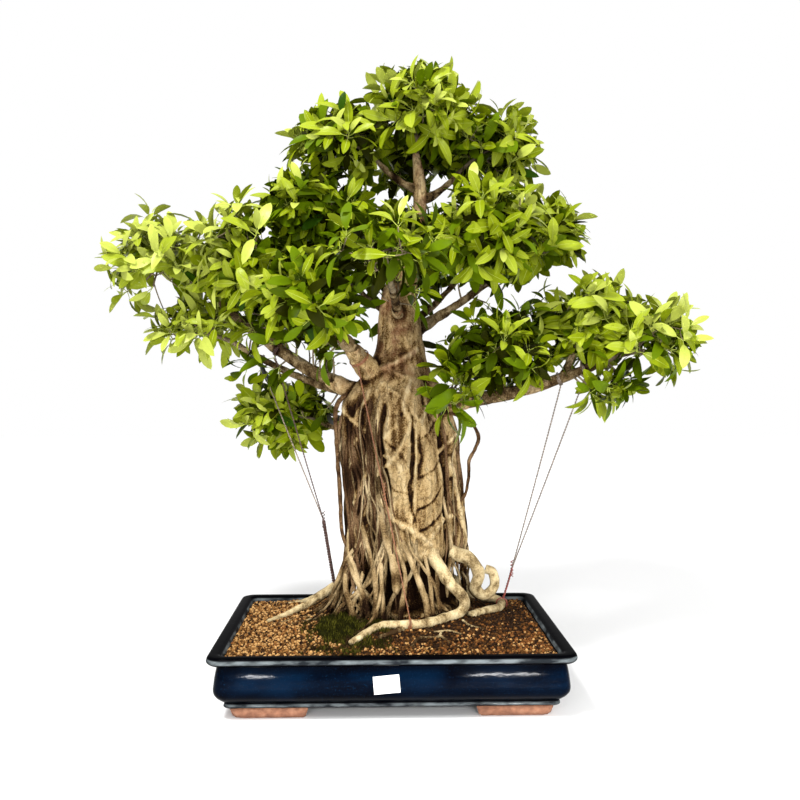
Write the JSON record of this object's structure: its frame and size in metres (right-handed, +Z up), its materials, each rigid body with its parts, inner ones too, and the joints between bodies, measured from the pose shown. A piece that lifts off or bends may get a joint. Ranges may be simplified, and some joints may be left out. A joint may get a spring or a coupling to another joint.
{
  "type": "potted ficus bonsai",
  "caption": "Ficus bonsai with a thick trunk of fused aerial roots, spreading wired boughs and a full leafy crown, planted in a glazed rectangular pot on corner feet.",
  "frame": {"origin": "on the ground under the middle of the pot", "axes": "+X to the right along the pot's long side, +Y to the back, +Z up; the front faces -Y"},
  "size_m": [1.1069, 0.5987, 1.1308],
  "materials": {
    "glaze": "gloss",
    "clay": "matte",
    "soil": "matte",
    "moss": "matte",
    "bark": "matte",
    "root": "matte",
    "twig": "matte",
    "leaf": "satin",
    "wire": "satin",
    "label": "matte"
  },
  "bodies": {
    "root": {"aerial_root_left": "root", "aerial_root_right": "root", "bough_apex_back": "bark", "bough_apex_left": "bark", "bough_apex_right": "bark", "bough_back_left": "bark", "bough_back_right": "bark", "bough_front": "bark", "bough_left_inner": "bark", "bough_left_low": "bark", "bough_left_main": "bark", "bough_low_left": "bark", "bough_mid_left": "bark", "bough_mid_right": "bark", "bough_rear": "bark", "bough_right_high": "bark", "bough_right_inner": "bark", "bough_right_low": "bark", "bough_right_mid": "bark", "bough_sprig": "bark", "bough_upright": "bark", "foliage_apex_back": "leaf", "foliage_apex_left": "leaf", "foliage_apex_right": "leaf", "foliage_apex_top": "leaf", "foliage_back_centre": "leaf", "foliage_back_left": "leaf", "foliage_back_right": "leaf", "foliage_front_centre": "leaf", "foliage_front_left": "leaf", "foliage_left_inner": "leaf", "foliage_left_low": "leaf", "foliage_left_outer": "leaf", "foliage_low_left": "leaf", "foliage_mid_left": "leaf", "foliage_mid_right": "leaf", "foliage_right_high": "leaf", "foliage_right_inner": "leaf", "foliage_right_mid": "leaf", "foliage_right_outer": "leaf", "foliage_sprig": "leaf", "foot_back_left": "clay", "foot_back_right": "clay", "foot_front_left": "clay", "foot_front_right": "clay", "moss": "moss", "pot": "glaze", "root_curl": "root", "root_front": "root", "root_left": "root", "root_left_back": "root", "root_right": "root", "soil": "soil", "trunk": "bark", "wire_front": "wire", "wire_left": "wire", "wire_right": "wire"}
  },
  "joints": []
}
